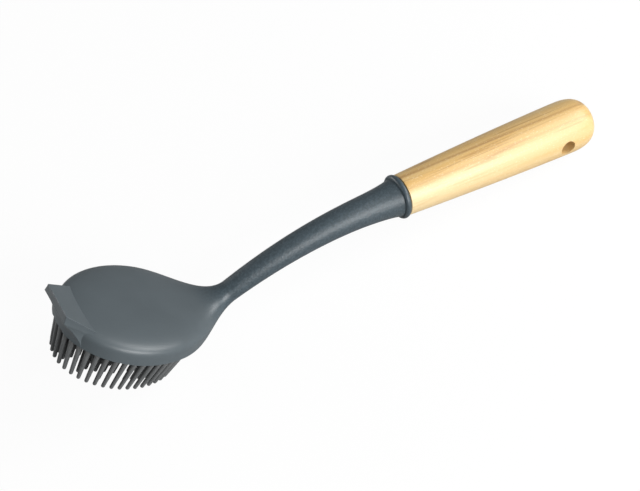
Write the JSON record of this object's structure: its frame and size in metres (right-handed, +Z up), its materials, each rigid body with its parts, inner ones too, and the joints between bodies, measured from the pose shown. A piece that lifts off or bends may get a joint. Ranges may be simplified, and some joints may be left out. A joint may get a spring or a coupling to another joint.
{
  "type": "cleaning brush",
  "caption": "Cleaning brush: a domed oval head with soft tapered fingers below and a scraper on its front, on a curved neck with a turned wooden handle and a hanging hole.",
  "frame": {"origin": "centre of the brush's footprint, on the surface that it lies on with its fingers down", "axes": "+X along the brush from the head towards the handle's butt, +Y across it, +Z up"},
  "size_m": [0.2916, 0.058, 0.0674],
  "materials": {
    "oiled_beech": "oiled satin with a lengthwise grain",
    "slate_plastic": "satin with a fine grain",
    "grey_silicone": "matte"
  },
  "bodies": {
    "root": {"wooden_handle": "oiled_beech", "head_and_neck": "slate_plastic", "bristle_pad": "grey_silicone"}
  },
  "joints": []
}
